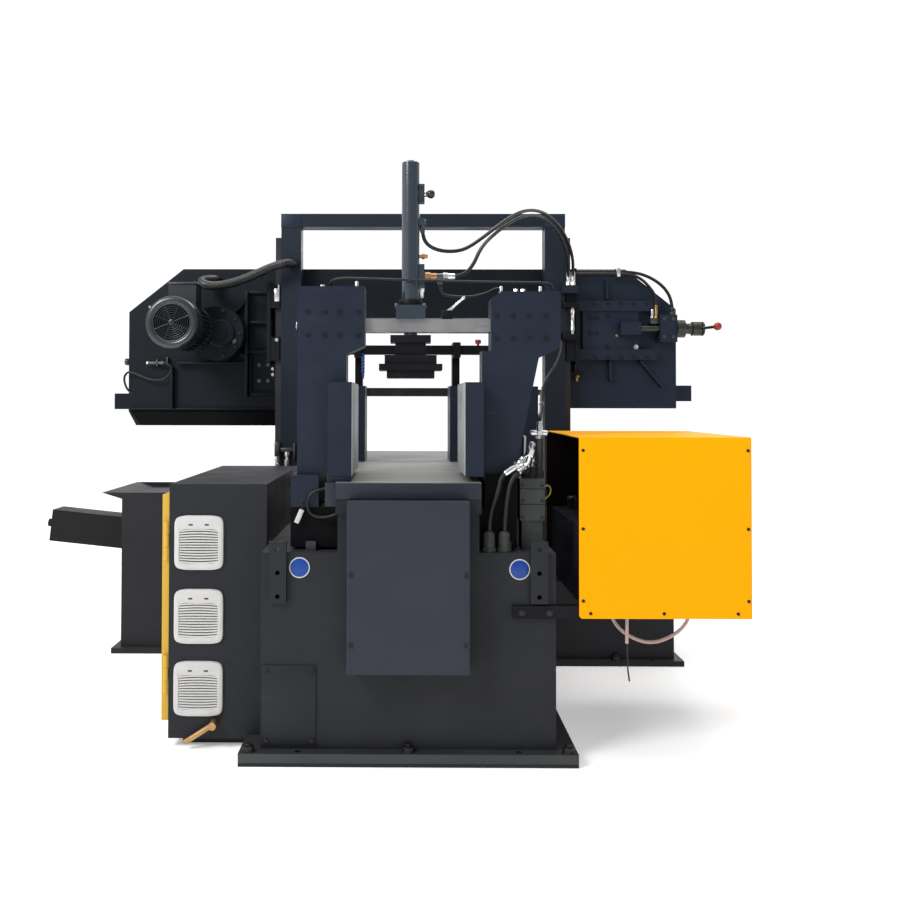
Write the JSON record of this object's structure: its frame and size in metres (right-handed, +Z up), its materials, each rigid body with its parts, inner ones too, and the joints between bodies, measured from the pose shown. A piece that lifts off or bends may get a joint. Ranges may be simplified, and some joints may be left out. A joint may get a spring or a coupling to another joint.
{
  "type": "double column band saw",
  "caption": "Horizontal band saw whose bow slides down two columns, with a feed carriage, vises, overhead press, hydraulic unit, electrical cabinet and chip auger.",
  "frame": {"origin": "on the floor, under the middle of the cut", "axes": "+X along the saw band to the right seen from the infeed side, +Y along the work from infeed to outfeed, +Z up"},
  "size_m": [2.6325, 1.81, 1.7009],
  "materials": {
    "frame_paint": "satin anthracite paint",
    "jaw_iron": "dark oiled iron",
    "motor_paint": "satin dark grey paint",
    "yellow_paint": "satin yellow paint",
    "table_steel": "ground",
    "bright_steel": "bright",
    "wheel_iron": "turned",
    "polished_rod": "polished",
    "cylinder_paint": "satin dark paint",
    "vent_plastic": "off-white",
    "switchgear": "grey",
    "tap_brass": "dull",
    "hose_rubber": "matt black",
    "conduit_plastic": "black",
    "clear_tube": "clear, yellowed"
  },
  "bodies": {
    "base": {"feed_base": "frame_paint", "base_fasteners": "bright_steel", "feed_covers": "frame_paint", "work_table": "table_steel", "table_stands": "frame_paint", "feed_motor": "motor_paint", "linear_rails": "table_steel", "cabinet": "frame_paint", "cabinet_vents": "vent_plastic", "electrical_plate": "switchgear", "drain_tap": "tap_brass", "hood": "yellow_paint", "hydraulic_brackets": "frame_paint", "hydraulic_unit": "motor_paint", "valve_stack": "bright_steel", "saw_base": "frame_paint", "chip_trough": "frame_paint", "columns": "frame_paint", "tie_beam": "frame_paint", "lift_cylinders": "cylinder_paint", "main_fixed_jaw": "jaw_iron", "main_vise_cylinder": "cylinder_paint", "press_hose_upper": "hose_rubber", "press_hose_lower": "hose_rubber", "column_cable": "hose_rubber", "tank_tube": "clear_tube"},
    "cabinet_door": {"cabinet_door": "yellow_paint"},
    "door_latch": {"door_latch": "bright_steel"},
    "feed_screw": {"feed_screw": "bright_steel"},
    "feed_carriage": {"feed_saddle": "frame_paint", "right_jaw": "jaw_iron", "right_arm": "frame_paint", "cross_bar": "table_steel", "press_cylinder": "cylinder_paint"},
    "feed_jaw": {"left_jaw": "jaw_iron", "left_arm": "frame_paint"},
    "press": {"press_rod": "polished_rod", "press_shoe": "jaw_iron"},
    "main_jaw": {"main_moving_jaw": "jaw_iron"},
    "bow": {"drive_housing": "frame_paint", "idler_housing": "frame_paint", "bow_beam": "frame_paint", "bow_carriages": "frame_paint", "gearbox": "frame_paint", "drive_motor": "motor_paint", "guide_bar": "jaw_iron", "saw_band": "bright_steel", "tension_frame": "frame_paint", "lift_rods": "polished_rod", "bow_conduit": "conduit_plastic", "tension_hose": "hose_rubber"},
    "drive_wheel": {"drive_wheel": "wheel_iron"},
    "motor_rotor": {"motor_rotor": "bright_steel"},
    "tension_slide": {"tension_slide": "frame_paint"},
    "idler_wheel": {"idler_wheel": "wheel_iron"},
    "tension_crank": {"tension_crank": "bright_steel"},
    "left_guide_arm": {"left_guide_arm": "jaw_iron"},
    "drive_door": {"drive_door": "frame_paint"},
    "idler_door": {"idler_door": "frame_paint"},
    "auger": {"auger": "bright_steel"}
  },
  "joints": [
    {"name": "feed_travel", "type": "slide", "parent": "base", "child": "feed_carriage", "axis": [0, 1, 0], "range_m": [0, 0.5]},
    {"name": "feed_screw_turn", "type": "hinge", "parent": "base", "child": "feed_screw", "pos_m": [0, 0, 0.634], "axis": [0, 1, 0], "range_deg": [0, 7200]},
    {"name": "feed_jaw_travel", "type": "slide", "parent": "feed_carriage", "child": "feed_jaw", "axis": [1, 0, 0], "range_m": [0, 0.05]},
    {"name": "press_travel", "type": "slide", "parent": "feed_carriage", "child": "press", "axis": [0, 0, 1], "range_m": [-0.28, 0]},
    {"name": "main_jaw_travel", "type": "slide", "parent": "base", "child": "main_jaw", "axis": [1, 0, 0], "range_m": [0, 0.3]},
    {"name": "bow_travel", "type": "slide", "parent": "base", "child": "bow", "axis": [0, 0, 1], "range_m": [-0.248, 0]},
    {"name": "drive_wheel_turn", "type": "hinge", "parent": "bow", "child": "drive_wheel", "pos_m": [-0.718, 0, 1.24085], "axis": [0, 1, 0], "continuous": true},
    {"name": "motor_turn", "type": "hinge", "parent": "bow", "child": "motor_rotor", "pos_m": [-0.81254, 0, 1.25752], "axis": [0, 1, 0], "continuous": true},
    {"name": "band_tension", "type": "slide", "parent": "bow", "child": "tension_slide", "axis": [1, 0, 0], "range_m": [-0.02, 0]},
    {"name": "idler_wheel_turn", "type": "hinge", "parent": "tension_slide", "child": "idler_wheel", "pos_m": [0.805, 0, 1.24085], "axis": [0, 1, 0], "continuous": true},
    {"name": "tension_crank_turn", "type": "hinge", "parent": "bow", "child": "tension_crank", "pos_m": [1, -0.212, 1.26685], "axis": [1, 0, 0], "range_deg": [-1440, 0]},
    {"name": "left_guide_travel", "type": "slide", "parent": "bow", "child": "left_guide_arm", "axis": [1, 0, 0], "range_m": [0, 0.25]},
    {"name": "drive_door_swing", "type": "hinge", "parent": "bow", "child": "drive_door", "pos_m": [-1.091, 0.048, 1.2], "axis": [0, 0, 1], "range_deg": [0, 110]},
    {"name": "idler_door_swing", "type": "hinge", "parent": "bow", "child": "idler_door", "pos_m": [1.048, 0.048, 1.2], "axis": [0, 0, -1], "range_deg": [0, 110]},
    {"name": "cabinet_door_swing", "type": "hinge", "parent": "base", "child": "cabinet_door", "pos_m": [-0.693, -1.138, 0.39], "axis": [0, 0, 1], "range_deg": [0, 110]},
    {"name": "latch_turn", "type": "hinge", "parent": "cabinet_door", "child": "door_latch", "pos_m": [-0.707, -0.4, 0.3945], "axis": [1, 0, 0], "range_deg": [0, 90]},
    {"name": "auger_turn", "type": "hinge", "parent": "base", "child": "auger", "pos_m": [-1.44, 0.06, 0.485], "axis": [0.9945, 0, -0.1045], "continuous": true}
  ],
  "couplings": [
    {"joint": "feed_screw_turn", "follows": "feed_travel", "rad_per_m": 251.33},
    {"joint": "motor_turn", "follows": "drive_wheel_turn", "ratio": -3},
    {"joint": "idler_wheel_turn", "follows": "drive_wheel_turn", "ratio": 1},
    {"joint": "tension_crank_turn", "follows": "band_tension", "rad_per_m": 1256.6}
  ]
}
